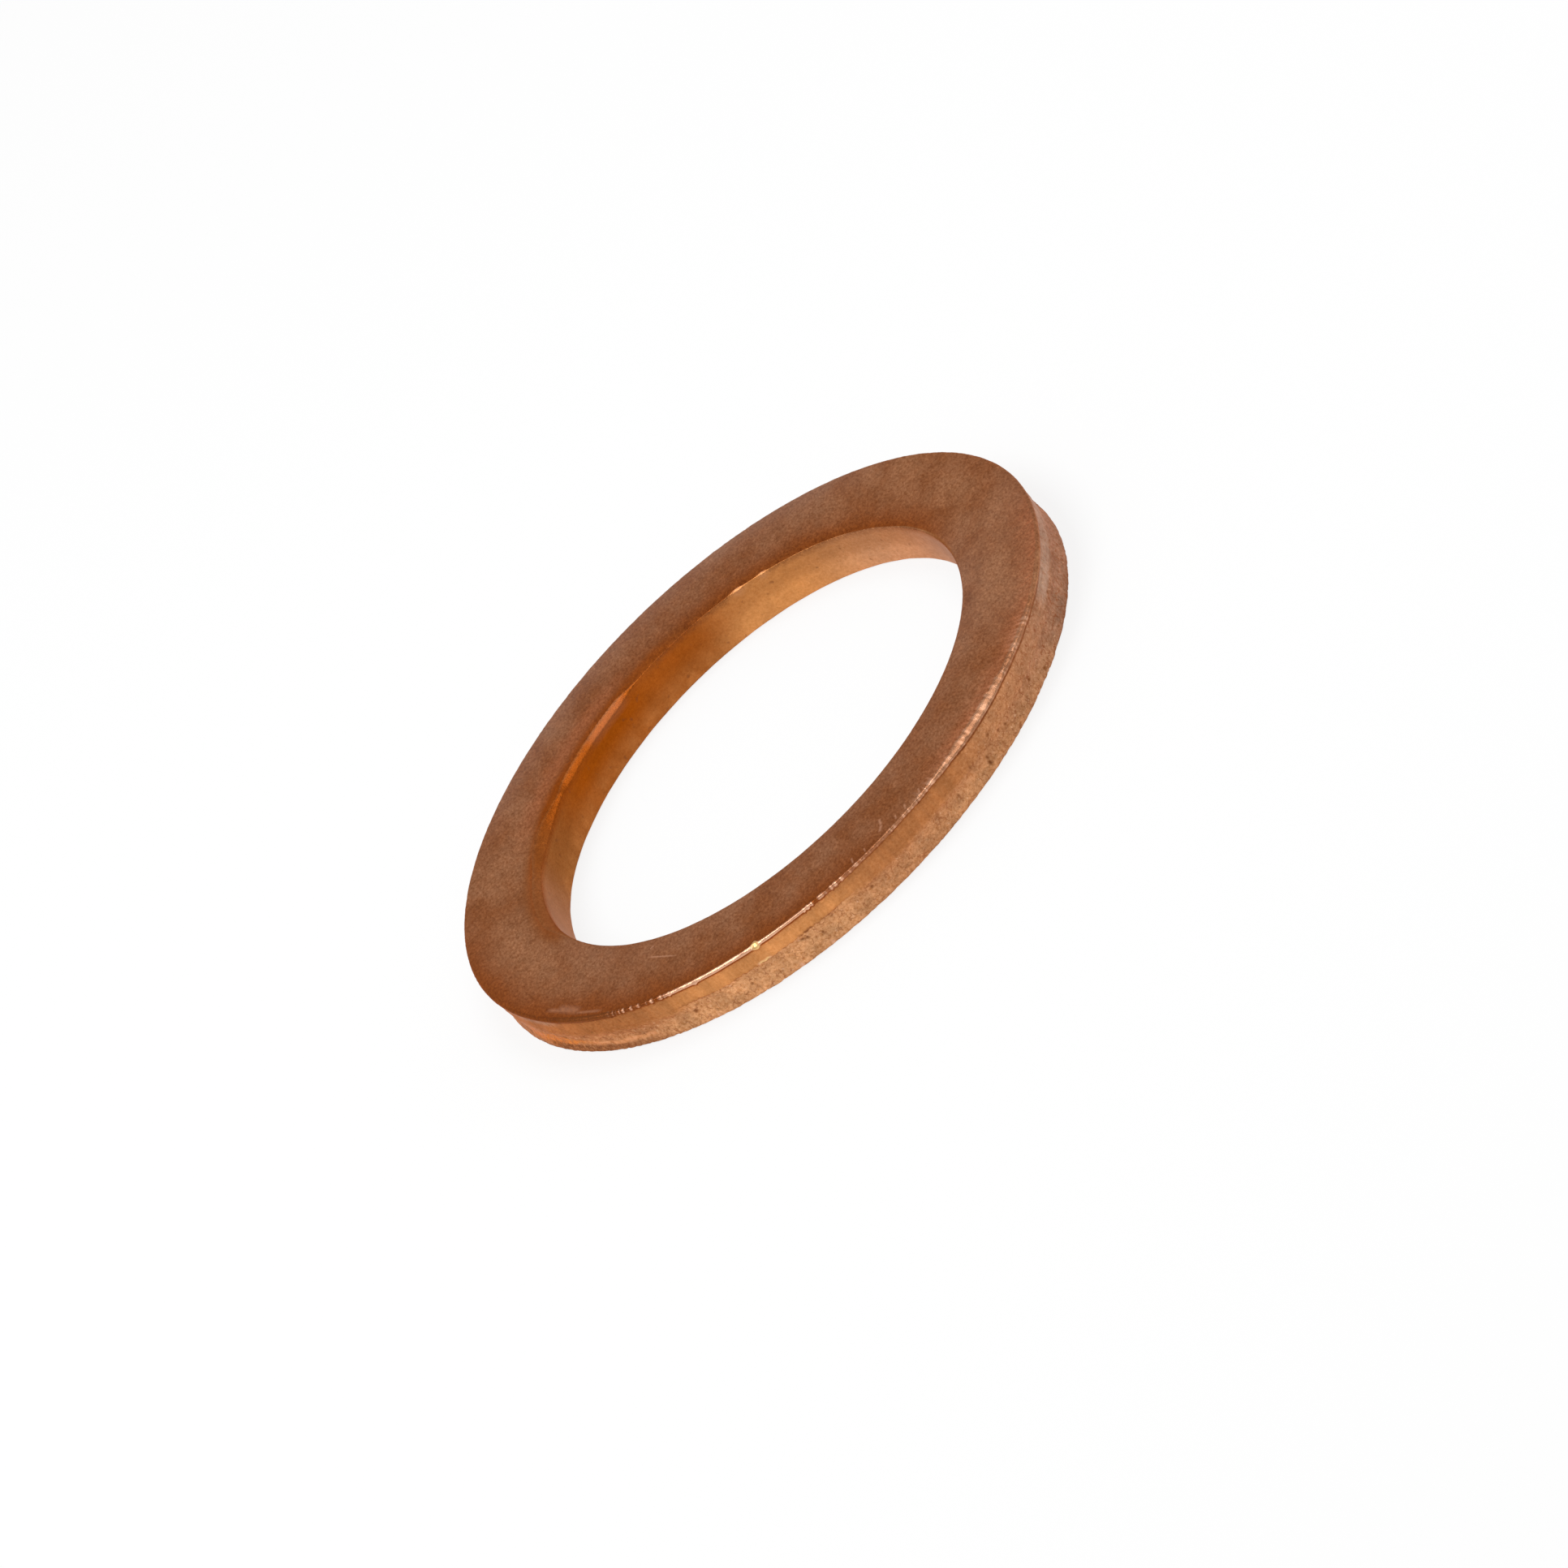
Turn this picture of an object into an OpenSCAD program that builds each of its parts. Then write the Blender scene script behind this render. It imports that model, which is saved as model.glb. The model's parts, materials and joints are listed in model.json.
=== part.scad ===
// Flat sealing washer, punched from copper strip as one plain ring.
// Its axis is Z and its lower face lies on Z = 0. From the upper face down,
// the outer side has a rim peened over by tumbling, a smooth sheared land,
// a hollow where the strip broke away, and a worn lower edge. At the bore
// the punch drew the upper face in, and its edge there is round.

/* [Ring] */
// Diameter of the bore
bore_d = 10.2; // [9.8:0.1:10.8]
// Diameter over the rim, the widest place of the washer
outer_d = 13.9; // [13.4:0.1:16]
// Thickness between the two flat faces
thickness = 1.0; // [0.8:0.1:2]

/* [Rim at the upper face] */
// Radius of the bead that the rim was peened to
rim_r = 0.06; // [0.05:0.01:0.09]
// How far the rim stands proud of the land below it
rim_proud = 0.04; // [0.01:0.01:0.04]
// Radius of the fillet that leads from the rim into the land
rim_fillet_r = 0.06; // [0.02:0.01:0.1]

/* [Sheared and broken side] */
// Depth below the upper face at which the smooth land ends
land_end = 0.4; // [0.34:0.01:0.44]
// Height over the lower face at which the broken side is full width again
heel_h = 0.14; // [0.14:0.01:0.2]
// Depth of the hollow that the break left between the land and the heel
hollow_depth = 0.035; // [0.01:0.005:0.05]
// Radius of the worn edge between the heel and the lower face
heel_r = 0.08; // [0.03:0.01:0.12]

/* [Bore edges] */
// How far the upper face is drawn in where its slope would meet the bore
draw_depth = 0.04; // [0.02:0.01:0.06]
// Width of the part of the upper face that is drawn in
draw_width = 0.5; // [0.3:0.05:0.7]
// Radius of the edge between the drawn-in face and the bore
bore_upper_r = 0.14; // [0.05:0.01:0.2]
// Radius of the worn edge at the lower face
bore_lower_r = 0.06; // [0.03:0.01:0.12]

/* [Hidden] */
bore_r = bore_d / 2;
outer_r = outer_d / 2;
land_r = outer_r - rim_proud;
// Centre of the rim's bead
rim_x = outer_r - rim_r;
rim_z = thickness - rim_r;
// Centre of the rim's fillet, which touches both the bead and the land
rim_fillet_x = land_r + rim_fillet_r;
rim_fillet_z = rim_z - sqrt((rim_r + rim_fillet_r) ^ 2 - (rim_fillet_x - rim_x) ^ 2);
// Circle of the drawn-in face, which touches the flat face at draw_x
draw_x = bore_r + draw_width;
draw_r = (draw_width ^ 2 + draw_depth ^ 2) / (2 * draw_depth);
draw_z = thickness - draw_r;
// Centre of the bore's upper edge, which touches both that circle and the bore
bore_upper_x = bore_r + bore_upper_r;
bore_upper_z = draw_z + sqrt((draw_r - bore_upper_r) ^ 2 - (draw_x - bore_upper_x) ^ 2);
// Where the line through both centres meets the level of the flat face
touch_x = draw_x - (draw_x - bore_upper_x) * draw_r / (bore_upper_z - draw_z);
// Circle of the hollow, from its chord up the side and its depth
hollow_chord = thickness - land_end - heel_h;
hollow_r = (hollow_chord ^ 2 / 4 + hollow_depth ^ 2) / (2 * hollow_depth);
hollow_x = land_r - hollow_depth + hollow_r;
hollow_z = heel_h + hollow_chord / 2;
copper = "#b56c41";
$fn = 180;

// Rectangle of the section, from its lower left corner to its upper right one
module block(x0, z0, x1, z1) {
    translate([x0, z0])
        square([x1 - x0, z1 - z0]);
}

// Waste outside a rounded corner. The corner lies at (x, z), the material
// lies on the side that dx and dz point to, and r is the radius.
module corner_waste(x, z, dx, dz, r) {
    difference() {
        block(min(x, x + dx * r), min(z, z + dz * r), max(x, x + dx * r), max(z, z + dz * r));
        translate([x + dx * r, z + dz * r])
            circle(r);
    }
}

// Waste above the drawn-in face and outside the bore's upper edge
module draw_waste() {
    difference() {
        block(bore_r, thickness - 2 * draw_depth, draw_x, thickness);
        translate([draw_x, draw_z])
            circle(draw_r);
    }
    difference() {
        polygon([
            [bore_r, bore_upper_z],
            [bore_upper_x, bore_upper_z],
            [touch_x, thickness],
            [bore_r, thickness]
        ]);
        translate([bore_upper_x, bore_upper_z])
            circle(bore_upper_r);
    }
}

// Hollow of the broken side
module hollow_waste() {
    translate([hollow_x, hollow_z])
        circle(hollow_r);
}

// Ring with square edges, and a gusset that the fillet under the rim is cut from
module blank_section() {
    polygon([
        [bore_r, 0],
        [land_r, 0],
        [land_r, rim_fillet_z],
        [rim_fillet_x, rim_fillet_z],
        [rim_x, rim_z],
        [rim_x, thickness],
        [bore_r, thickness]
    ]);
}

// Half section of the ring, to the right of its axis
module ring_section() {
    translate([rim_x, rim_z])
        circle(rim_r);
    difference() {
        blank_section();
        translate([rim_fillet_x, rim_fillet_z])
            circle(rim_fillet_r);
        hollow_waste();
        corner_waste(land_r, 0, -1, 1, heel_r);
        corner_waste(bore_r, 0, 1, 1, bore_lower_r);
        draw_waste();
    }
}

module sealing_washer() {
    color(copper)
        rotate_extrude()
            ring_section();
}

sealing_washer();
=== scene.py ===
import json
import math
from types import SimpleNamespace

import bpy
import numpy as np
from mathutils import Matrix, Vector


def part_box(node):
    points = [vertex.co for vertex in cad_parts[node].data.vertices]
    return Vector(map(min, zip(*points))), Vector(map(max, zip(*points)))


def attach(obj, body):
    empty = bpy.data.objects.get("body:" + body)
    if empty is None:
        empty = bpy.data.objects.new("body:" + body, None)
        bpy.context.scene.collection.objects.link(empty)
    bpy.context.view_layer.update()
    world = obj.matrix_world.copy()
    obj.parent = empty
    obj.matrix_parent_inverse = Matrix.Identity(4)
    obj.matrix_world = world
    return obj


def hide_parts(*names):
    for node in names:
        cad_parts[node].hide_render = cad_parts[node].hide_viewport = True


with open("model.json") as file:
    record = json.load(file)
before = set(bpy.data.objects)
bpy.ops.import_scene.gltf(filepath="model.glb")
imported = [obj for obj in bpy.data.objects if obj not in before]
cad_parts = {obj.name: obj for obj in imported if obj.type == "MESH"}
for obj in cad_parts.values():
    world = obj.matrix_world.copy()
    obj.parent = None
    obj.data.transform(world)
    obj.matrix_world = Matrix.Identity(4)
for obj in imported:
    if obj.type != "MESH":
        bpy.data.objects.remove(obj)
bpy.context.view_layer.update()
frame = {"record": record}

# The washer lies flat on the floor with its bore along Z. Angles run round Z
# in degrees from +X, so 270 is the side that faces the camera.

MM = 0.001
DEG = 180 / math.pi
QUARTER = math.pi / 2
NODE = "sealing_washer"

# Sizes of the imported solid
node_low, node_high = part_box(NODE)
THICKNESS = node_high.z - node_low.z
OUTER_R = (node_high.x - node_low.x) / 2
BORE_R = next(m["dims"]["r_mm"] for m in frame["record"]["mounts"] if m["name"] == "bore") * MM

# Edge sizes. Those of the rim, the hollow and the bore's lower edge are as in
# the part's source. The land ends a little lower here, and the heel and the
# bore's upper edge are sharper, as they are in the photograph.
RIM_R = 0.06 * MM
RIM_PROUD = 0.04 * MM
RIM_FILLET_R = 0.06 * MM
LAND_END = 0.42 * MM
HEEL_H = 0.14 * MM
HOLLOW_DEPTH = 0.035 * MM
HEEL_R = 0.05 * MM
BORE_UPPER_R = 0.10 * MM
BORE_LOWER_R = 0.06 * MM

# The upper face sinks a little towards both of its edges. At the bore the punch
# drew it in, least at the near side.
BORE_SINK, BORE_SINK_WIDTH = 0.03 * MM, 0.5 * MM
RIM_SINK, RIM_SINK_WIDTH = 0.008 * MM, 0.6 * MM
# Small step at which the smooth land ends and the broken side starts
STEP_DEPTH, STEP_HEIGHT = 0.006 * MM, 0.02 * MM

# Mesh density. The columns of the mesh lie closer together at the near side.
AROUND = 1270
NEAR_SIDE = math.radians(270)
CROWDING = 0.35
ROWS = {
    "wall": 6, "bore_upper": 8, "face": 12, "rim": 12, "fillet": 4, "land": 6, "step": 2,
    "hollow": 16, "heel": 1, "heel_edge": 5, "lower": 3, "bore_lower": 3,
}
ROW_NAMES = np.repeat(list(ROWS), list(ROWS.values()))
# Rows of the rim that make the lip under its widest place
LIP_ROWS = 4
# Rows of the flat lower face, from its outer edge to the bore. They lie close
# to its edges, so that the looks of the sides end there.
LOWER_SHARES = np.array([0.0, 0.02, 0.98])[:, None]

SEED = 7
even = np.arange(AROUND) * 2 * math.pi / AROUND
theta = even - CROWDING * np.sin(even - NEAR_SIDE)
theta_deg = theta * DEG

# Marks that shape and colour share: stretches as two angles and the degrees
# over which they fade, and single places as an angle
BEADED = [(217.5, 230, 1), (257, 264, 1)]
BEVELLED = (291, 303, 8)
FAR_BORE = (30, 150, 30)
ROUGH_LEFT = (180, 226, 5)
ROUGH_RIGHT = (300, 350, 14)
NICK_AT = 247.4
CHIPS_AT = (69.8, 62.9)


# Small helpers for shapes along the angle

def smooth(x):
    """Smooth step from 0 at 0 to 1 at 1."""
    x = np.clip(x, 0, 1)
    return x * x * (3 - 2 * x)


def away_from(angle):
    """Degrees from an angle to each column of the mesh, from -180 to 180."""
    return (theta_deg - angle + 180) % 360 - 180


def span(start, end, soft):
    """1 between two angles, fading to 0 over soft degrees outside them."""
    outside = np.abs(away_from((start + end) / 2)) - (end - start) / 2
    return smooth(1 - outside / soft)


def bump_at(angle, half_width):
    """Small bump of height 1 at an angle, both in degrees."""
    return np.exp(-(away_from(angle) / half_width) ** 2)


def wave(rng, lowest, highest):
    """Smooth random ripple round the ring, about -1 to 1, of so many waves a turn."""
    orders = np.arange(lowest, highest + 1)
    phases = rng.uniform(0, 2 * math.pi, len(orders))
    sizes = rng.normal(1, 0.3, len(orders))
    ripple = (sizes[:, None] * np.cos(orders[:, None] * theta + phases[:, None])).sum(0)
    return ripple / (2 * ripple.std())


# Rows of the section

def rows(*wanted):
    """1 on the rows of these stretches and 0 on the others, as a column."""
    return np.isin(ROW_NAMES, wanted).astype(float)[:, None]


def rise(name):
    """0 to 1 along the rows of one stretch, and 0 on the others, as a column."""
    first = list(ROW_NAMES).index(name)
    return np.clip((np.arange(len(ROW_NAMES)) - first) / ROWS[name], 0, 1)[:, None] * rows(name)


UPPER = rows("face", "bore_upper", "rim")
LAND = rows("fillet", "land", "step")
SIDE = rows("fillet", "land", "step", "hollow", "heel", "heel_edge")


def shares(count):
    """Even steps from 0 up to but without 1, as a column."""
    return np.arange(count)[:, None] / count


def arc(centre_r, centre_z, radius, start, end, count):
    """Points of an arc of the section, from one angle up to but without the other."""
    angle = start + (end - start) * shares(count)
    return centre_r + radius * np.cos(angle), centre_z + radius * np.sin(angle)


def line(r0, z0, r1, z1, count):
    """Points of a straight stretch of the section, without its last point."""
    share = shares(count)
    return r0 + (r1 - r0) * share, z0 + (z1 - z0) * share


def edge(face_end, face_fall, side_end, fullness, share):
    """Points of a rounded edge between a face and an upright side.

    face_end and side_end are (r, z), face_fall is the slope of the face, and
    share goes from 0 at the face to 1 at the side. A fullness of 0.55 makes a
    quarter of an ellipse, and less makes it flatter, like a worn bevel.
    """
    (r0, z0), (r1, z1) = face_end, side_end
    reach = fullness * (r1 - r0)
    left = 1 - share
    a, b, c, d = left ** 3, 3 * share * left ** 2, 3 * share ** 2 * left, share ** 3
    r = a * r0 + b * (r0 + reach) + (c + d) * r1
    z = a * z0 + b * (z0 - face_fall * np.abs(reach)) + c * (z1 + fullness * (z0 - z1)) + d * z1
    return r, z


# Band-limited noise over the unrolled surface: one axis round the ring, one
# along the section. Both axes wrap, as the surface does.

GRID_AROUND, GRID_ALONG = 4096, 512
SECTION_LENGTH = 2 * (OUTER_R - BORE_R) + 2 * THICKNESS
CIRCUMFERENCE = 2 * math.pi * OUTER_R


def noise_grid(rng, size_around, size_along):
    """Random field whose features have about these sizes, with a deviation of 1."""
    white = rng.normal(size=(GRID_ALONG, GRID_AROUND))
    wave_around = np.fft.rfftfreq(GRID_AROUND, CIRCUMFERENCE / GRID_AROUND)
    wave_along = np.fft.fftfreq(GRID_ALONG, SECTION_LENGTH / GRID_ALONG)[:, None]
    band = (wave_around * size_around) ** 2 + (wave_along * size_along) ** 2
    field = np.fft.irfft2(np.fft.rfft2(white) * band * np.exp(-2 * band), s=white.shape)
    return field / field.std()


def sample_grid(field, along):
    """Values of the field at the mesh's points. along is the distance along the section."""
    x = theta / (2 * math.pi) * GRID_AROUND
    y = along / SECTION_LENGTH * GRID_ALONG
    x0, y0 = np.floor(x).astype(int), np.floor(y).astype(int)
    fx, fy = x - x0, y - y0
    x0, y0 = x0 % GRID_AROUND, y0 % GRID_ALONG
    x1, y1 = (x0 + 1) % GRID_AROUND, (y0 + 1) % GRID_ALONG
    low = field[y0, x0] * (1 - fx) + field[y0, x1] * fx
    high = field[y1, x0] * (1 - fx) + field[y1, x1] * fx
    return low * (1 - fy) + high * fy


def speckle(rng, along, size_around, size_along):
    """Noise at the mesh's points, with features of these sizes in millimetres."""
    return sample_grid(noise_grid(rng, size_around * MM, size_along * MM), along)


# Shape of the ring

# Wear of the rim: angle, then its width and its drop as shares of the rim's radius
RIM_WEAR = [
    (10, 0.9, 0.65), (165, 0.9, 0.65), (190, 0.8, 0.8), (203, 1.1, 0.9), (216, 1.1, 0.8),
    (219, 0.5, 0.6), (229, 0.45, 0.6), (233, 0.65, 0.8), (247, 0.80, 0.88), (249, 0.6, 0.78),
    (257, 0.50, 0.65), (261, 0.40, 0.6), (278, 0.5, 0.6), (284, 0.8, 0.7), (288, 1.3, 1.0),
    (292, 2.4, 1.55), (302, 2.5, 1.6), (306, 1.8, 1.25), (312, 1.5, 1.05), (325, 1.2, 1.0),
    (345, 0.9, 0.8),
]


def rim_wear(rng, beads):
    """Width, drop and fullness of the rim's rounding, and the radius of its lip."""
    bevel = span(*BEVELLED)
    angles, widths, drops = zip(*RIM_WEAR)
    nick = bump_at(NICK_AT, 0.5)
    dent = bump_at(235.4, 0.3)
    width = np.interp(theta_deg, angles, widths, period=360) * (1 + 0.12 * wave(rng, 30, 160))
    width = RIM_R * (width + 0.35 * beads + 0.3 * bevel * wave(rng, 60, 300)) + 0.08 * MM * nick
    drop = np.interp(theta_deg, angles, drops, period=360) + 0.10 * wave(rng, 20, 90)
    drop = RIM_R * (drop + 0.4 * beads) + 0.03 * MM * (dent + 1.3 * nick)
    fullness = 0.55 - 0.22 * bevel - 0.2 * span(232, 247, 4)
    return width, drop, fullness, RIM_R * (1 - 0.25 * bevel)


def bore_wear(rng):
    """Width, drop and fullness of the bore's upper edge.

    At the far side the edge is sharp, with two chips, and further round it is
    worn to a bevel and then to a soft slope.
    """
    far = span(*FAR_BORE)
    worn = np.maximum(span(106, 127, 8), 0.6 * span(127, 146, 10))
    worn += 0.45 * (bump_at(CHIPS_AT[0], 1.7) + 0.8 * bump_at(CHIPS_AT[1], 1.3))
    soft = span(142, 176, 12)
    width = BORE_UPPER_R * (0.75 - 0.6 * far + 1.4 * worn + 1.6 * soft + 0.05 * wave(rng, 5, 40))
    drop = BORE_UPPER_R * (0.7 - 0.55 * far + 0.98 * worn + 0.5 * soft + 0.05 * wave(rng, 5, 40))
    return width, drop, 0.5 - 0.3 * worn - 0.15 * soft


def hollow_rows(land_r, land_z, step):
    """The hollow of the broken side, which starts gently where no step parts it from the land."""
    down = shares(ROWS["hollow"])
    soft_top = span(266, 335, 12) + span(200, 226, 6)
    bow = 4 * down * (1 - down) * (1 - soft_top * (1 - smooth(down / 0.45)))
    top = land_z - STEP_HEIGHT
    return land_r - step * (1 - down) - HOLLOW_DEPTH * bow, top - (top - HEEL_H) * down


def rim_rows(face_end, face_fall, side_end, fullness, lip_r, land_r):
    """The rim's rounded edge, round lip and fillet, and the height at which the land starts."""
    lip_x, lip_z = OUTER_R - lip_r, side_end[1]
    fillet_x = land_r + RIM_FILLET_R
    reach = lip_r + RIM_FILLET_R
    fillet_z = lip_z - np.sqrt(reach ** 2 - (fillet_x - lip_x) ** 2)
    turn = np.arccos((fillet_x - lip_x) / reach)
    return [
        edge(face_end, face_fall, side_end, fullness, shares(ROWS["rim"] - LIP_ROWS)),
        arc(lip_x, lip_z, lip_r, 0, -turn, LIP_ROWS),
        arc(fillet_x, fillet_z, RIM_FILLET_R, 2 * QUARTER - turn, 2 * QUARTER, ROWS["fillet"]),
    ], fillet_z


def section_rows(rng, beads):
    """Rows of the closed section at every angle. Beads are the dots beaten into the rim."""
    rim_width, rim_drop, rim_fullness, lip_r = rim_wear(rng, beads)
    land_r = OUTER_R - RIM_PROUD * (1 + 0.12 * wave(rng, 4, 70))
    bore_width, bore_drop, bore_fullness = bore_wear(rng)
    lower_r = BORE_LOWER_R * (1 + 0.1 * wave(rng, 5, 50))
    heel_r = HEEL_R * (1 + 0.2 * wave(rng, 8, 250))
    land_z = THICKNESS - LAND_END - 0.014 * MM * wave(rng, 3, 40) - 0.010 * MM * wave(rng, 60, 400)
    step = STEP_DEPTH * (1 + 0.6 * wave(rng, 10, 120)) * (0.2 + 0.8 * span(232, 261, 4))
    bore_sink = BORE_SINK * (0.45 + 0.9 * span(*FAR_BORE) + 0.1 * wave(rng, 2, 6))
    rim_sink = RIM_SINK * (1 + 0.25 * wave(rng, 2, 6))

    def sunk(r):
        """Height of the upper face at a radius."""
        from_bore = np.clip(1 - (r - BORE_R) / BORE_SINK_WIDTH, 0, 1)
        from_rim = np.clip(1 - (OUTER_R - r) / RIM_SINK_WIDTH, 0, 1)
        return THICKNESS - bore_sink * from_bore ** 2 - rim_sink * from_rim ** 2

    # The upper face between its two edges, and the slope and the ends of both edges
    face_start, face_end = BORE_R + bore_width, OUTER_R - rim_width
    crowded = (1 - np.cos(math.pi * shares(ROWS["face"]))) / 2
    face_r = face_start + (face_end - face_start) * crowded
    bore_end, rim_end = (face_start, sunk(face_start)), (face_end, sunk(face_end))
    bore_fall = 2 * bore_sink / BORE_SINK_WIDTH * (1 - bore_width / BORE_SINK_WIDTH)
    rim_fall = 2 * rim_sink / RIM_SINK_WIDTH * (1 - rim_width / RIM_SINK_WIDTH)
    wall_end = (BORE_R, bore_end[1] - bore_drop)
    lip_end = (OUTER_R, rim_end[1] - rim_drop)

    rim, land_top = rim_rows(rim_end, rim_fall, lip_end, rim_fullness, lip_r, land_r)
    lower_out, lower_in = land_r - heel_r, BORE_R + lower_r
    stretches = [
        line(BORE_R, lower_r, *wall_end, ROWS["wall"]),
        edge(bore_end, bore_fall, wall_end, bore_fullness, 1 - shares(ROWS["bore_upper"])),
        (face_r, sunk(face_r)),
        *rim,
        line(land_r, land_top, land_r, land_z, ROWS["land"]),
        line(land_r, land_z, land_r - step, land_z - STEP_HEIGHT, ROWS["step"]),
        hollow_rows(land_r, land_z, step),
        line(land_r, HEEL_H, land_r, heel_r, ROWS["heel"]),
        arc(lower_out, heel_r, heel_r, 0, -QUARTER, ROWS["heel_edge"]),
        (lower_out + (lower_in - lower_out) * LOWER_SHARES, 0 * LOWER_SHARES),
        arc(lower_in, lower_r, lower_r, -QUARTER, -2 * QUARTER, ROWS["bore_lower"]),
    ]
    full = np.ones_like(theta)
    r = np.concatenate([stretch[0] * full for stretch in stretches])
    z = np.concatenate([stretch[1] * full for stretch in stretches])
    return r, z


def section_normals(r, z):
    """Outward normals of the section, from its neighbours on the closed loop."""
    dr = np.roll(r, -1, 0) - np.roll(r, 1, 0)
    dz = np.roll(z, -1, 0) - np.roll(z, 1, 0)
    length = np.hypot(dr, dz)
    return -dz / length, dr / length


# Pits torn out of the broken side: angle in degrees, height over the lower
# face, half width, half height and depth in millimetres
PITS = [
    (250.4, 0.41, 0.025, 0.02, 0.0084), (253.5, 0.47, 0.045, 0.02, 0.0175),
    (254.3, 0.44, 0.03, 0.03, 0.014), (253.1, 0.50, 0.02, 0.015, 0.0084),
    (242.3, 0.29, 0.03, 0.03, 0.0112), (256.6, 0.33, 0.035, 0.03, 0.014),
    (267.0, 0.38, 0.035, 0.03, 0.014), (286.5, 0.32, 0.03, 0.04, 0.0112),
    (294.3, 0.30, 0.03, 0.05, 0.014), (294.0, 0.20, 0.04, 0.045, 0.0175),
    (296.9, 0.58, 0.05, 0.04, 0.0105), (296.6, 0.52, 0.02, 0.02, 0.0084),
    (298.9, 0.41, 0.03, 0.03, 0.0126), (300.6, 0.35, 0.035, 0.03, 0.0154),
    (309.8, 0.33, 0.04, 0.03, 0.014), (313.6, 0.14, 0.05, 0.03, 0.014),
    (315.5, 0.45, 0.02, 0.02, 0.007), (322.0, 0.36, 0.02, 0.02, 0.007),
    (327.2, 0.58, 0.05, 0.03, 0.0105), (338.5, 0.45, 0.06, 0.04, 0.0105),
    (228.8, 0.10, 0.03, 0.03, 0.0126), (217.9, 0.74, 0.03, 0.04, 0.0105),
]
RANDOM_PITS = 150
# Depth of a random pit as a share of its half width
RANDOM_PIT_DEPTH = 0.22


def pit_field(rng, z):
    """Depth of the pits on the outer side, in metres."""
    depth = np.zeros_like(z)
    spots = list(PITS)
    for _ in range(RANDOM_PITS):
        width = 0.013 + rng.gamma(2.0, 0.004)
        tall = width * rng.uniform(0.7, 1.8)
        place = rng.uniform(0, 360), rng.uniform(0.08, 0.54)
        spots.append((*place, width, tall, width * RANDOM_PIT_DEPTH))
    outer = rows("land", "step", "hollow", "heel", "heel_edge") > 0
    for angle, height, half_width, half_height, deep in spots:
        away = away_from(angle) / DEG * OUTER_R / MM
        near = np.abs(away) < 3 * half_width
        across = (away[near] / half_width) ** 2
        distance = across + ((z[:, near] / MM - height) / half_height) ** 2
        pit = deep * MM * np.exp(-1.2 * distance ** 1.5) * outer
        depth[:, near] = np.maximum(depth[:, near], pit)
    return depth


def burr_height():
    """Height of the burr on the left part of the broken side, as a share of the thickness."""
    return 0.28 - 0.08 * np.clip((theta_deg - 198) / 23, 0, 1)


def surface_relief(rng, along, z):
    """How far each point lies below the true section, in metres, and how much of that is pits."""
    coarse = speckle(rng, along, 0.55, 0.40)
    medium = speckle(rng, along, 0.20, 0.20)
    fine = speckle(rng, along, 0.10, 0.10)
    drag = speckle(rng, along, 0.14, 2.50)
    wavy = speckle(rng, along, 1.60, 0.90)

    # In millimetres. The land is rough too where it broke early.
    rough_land = 0.7 * rows("land", "step") * (span(*ROUGH_LEFT) + span(*ROUGH_RIGHT))
    broken = rows("hollow", "heel", "heel_edge") + rough_land
    torn = 1 + 0.8 * span(196, 224, 5) + 0.8 * span(300, 345, 12)
    beaten = span(276, 322, 8)
    deep = broken * (0.004 + (0.001 * coarse + 0.0014 * medium + 0.0028 * fine) * torn)
    deep -= 0.003 * rows("heel_edge")
    deep += rows("land", "fillet") * (0.001 + 0.0008 * drag * span(262, 300, 10))
    deep += rows("rim") * (0.003 + 0.0012 * fine)
    deep += rows("rim") * beaten * (0.001 + 0.0012 * fine + 0.001 * medium)
    deep += rows("wall", "bore_upper", "bore_lower") * (0.001 + 0.0006 * medium)
    deep += rows("face", "lower") * (0.001 + 0.0005 * wavy)
    under_burr = smooth((burr_height() - 0.02 - z / THICKNESS) / 0.05)
    deep += 0.012 * rows("hollow", "heel") * span(199, 221, 4) * under_burr
    pits = pit_field(rng, z)
    return np.maximum(deep, 0) * MM + pits, pits


# Colour of the ring, as masks from 0 to 1 on the points of the mesh. Some of them paint light,
# shade, sheen and reflection into the colour.

def shared_fields(rng, along, r, z, pits, beads):
    """What the masks are made from. Distances are in millimetres, height is a share."""
    blotch = smooth(0.5 + 0.5 * speckle(rng, along, 0.12, 0.10))
    ticks = smooth(1.2 * speckle(rng, along, 0.09, 0.40) - 0.2)
    patch = smooth(0.5 + 0.6 * speckle(rng, along, 0.60, 0.30))
    from_bore, from_rim = (r - BORE_R) / MM, (OUTER_R - r) / MM
    return SimpleNamespace(
        blotch=blotch, ticks=ticks, patch=patch, pits=pits, beads=beads, height=z / THICKNESS,
        from_bore=from_bore, near_bore=np.exp(-(from_bore / 0.55) ** 2),
        from_rim=from_rim, near_rim=np.exp(-(from_rim / 0.55) ** 2),
    )


def broken_mask():
    """The broken side. The land passes softly into it, except where a step parts them."""
    soft_end = span(268, 350, 8) + span(180, 228, 5)
    rough = 0.2 * span(*ROUGH_LEFT) + 0.8 * span(*ROUGH_RIGHT) + 0.2 * span(268, 296, 8)
    rough = np.minimum(rough, 1)
    gentle = soft_end * (1 - rough) * (1 - smooth(rise("hollow") / 0.4))
    return rows("land", "step") * rough + rows("heel", "heel_edge") + rows("hollow") * (1 - gentle)


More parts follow.
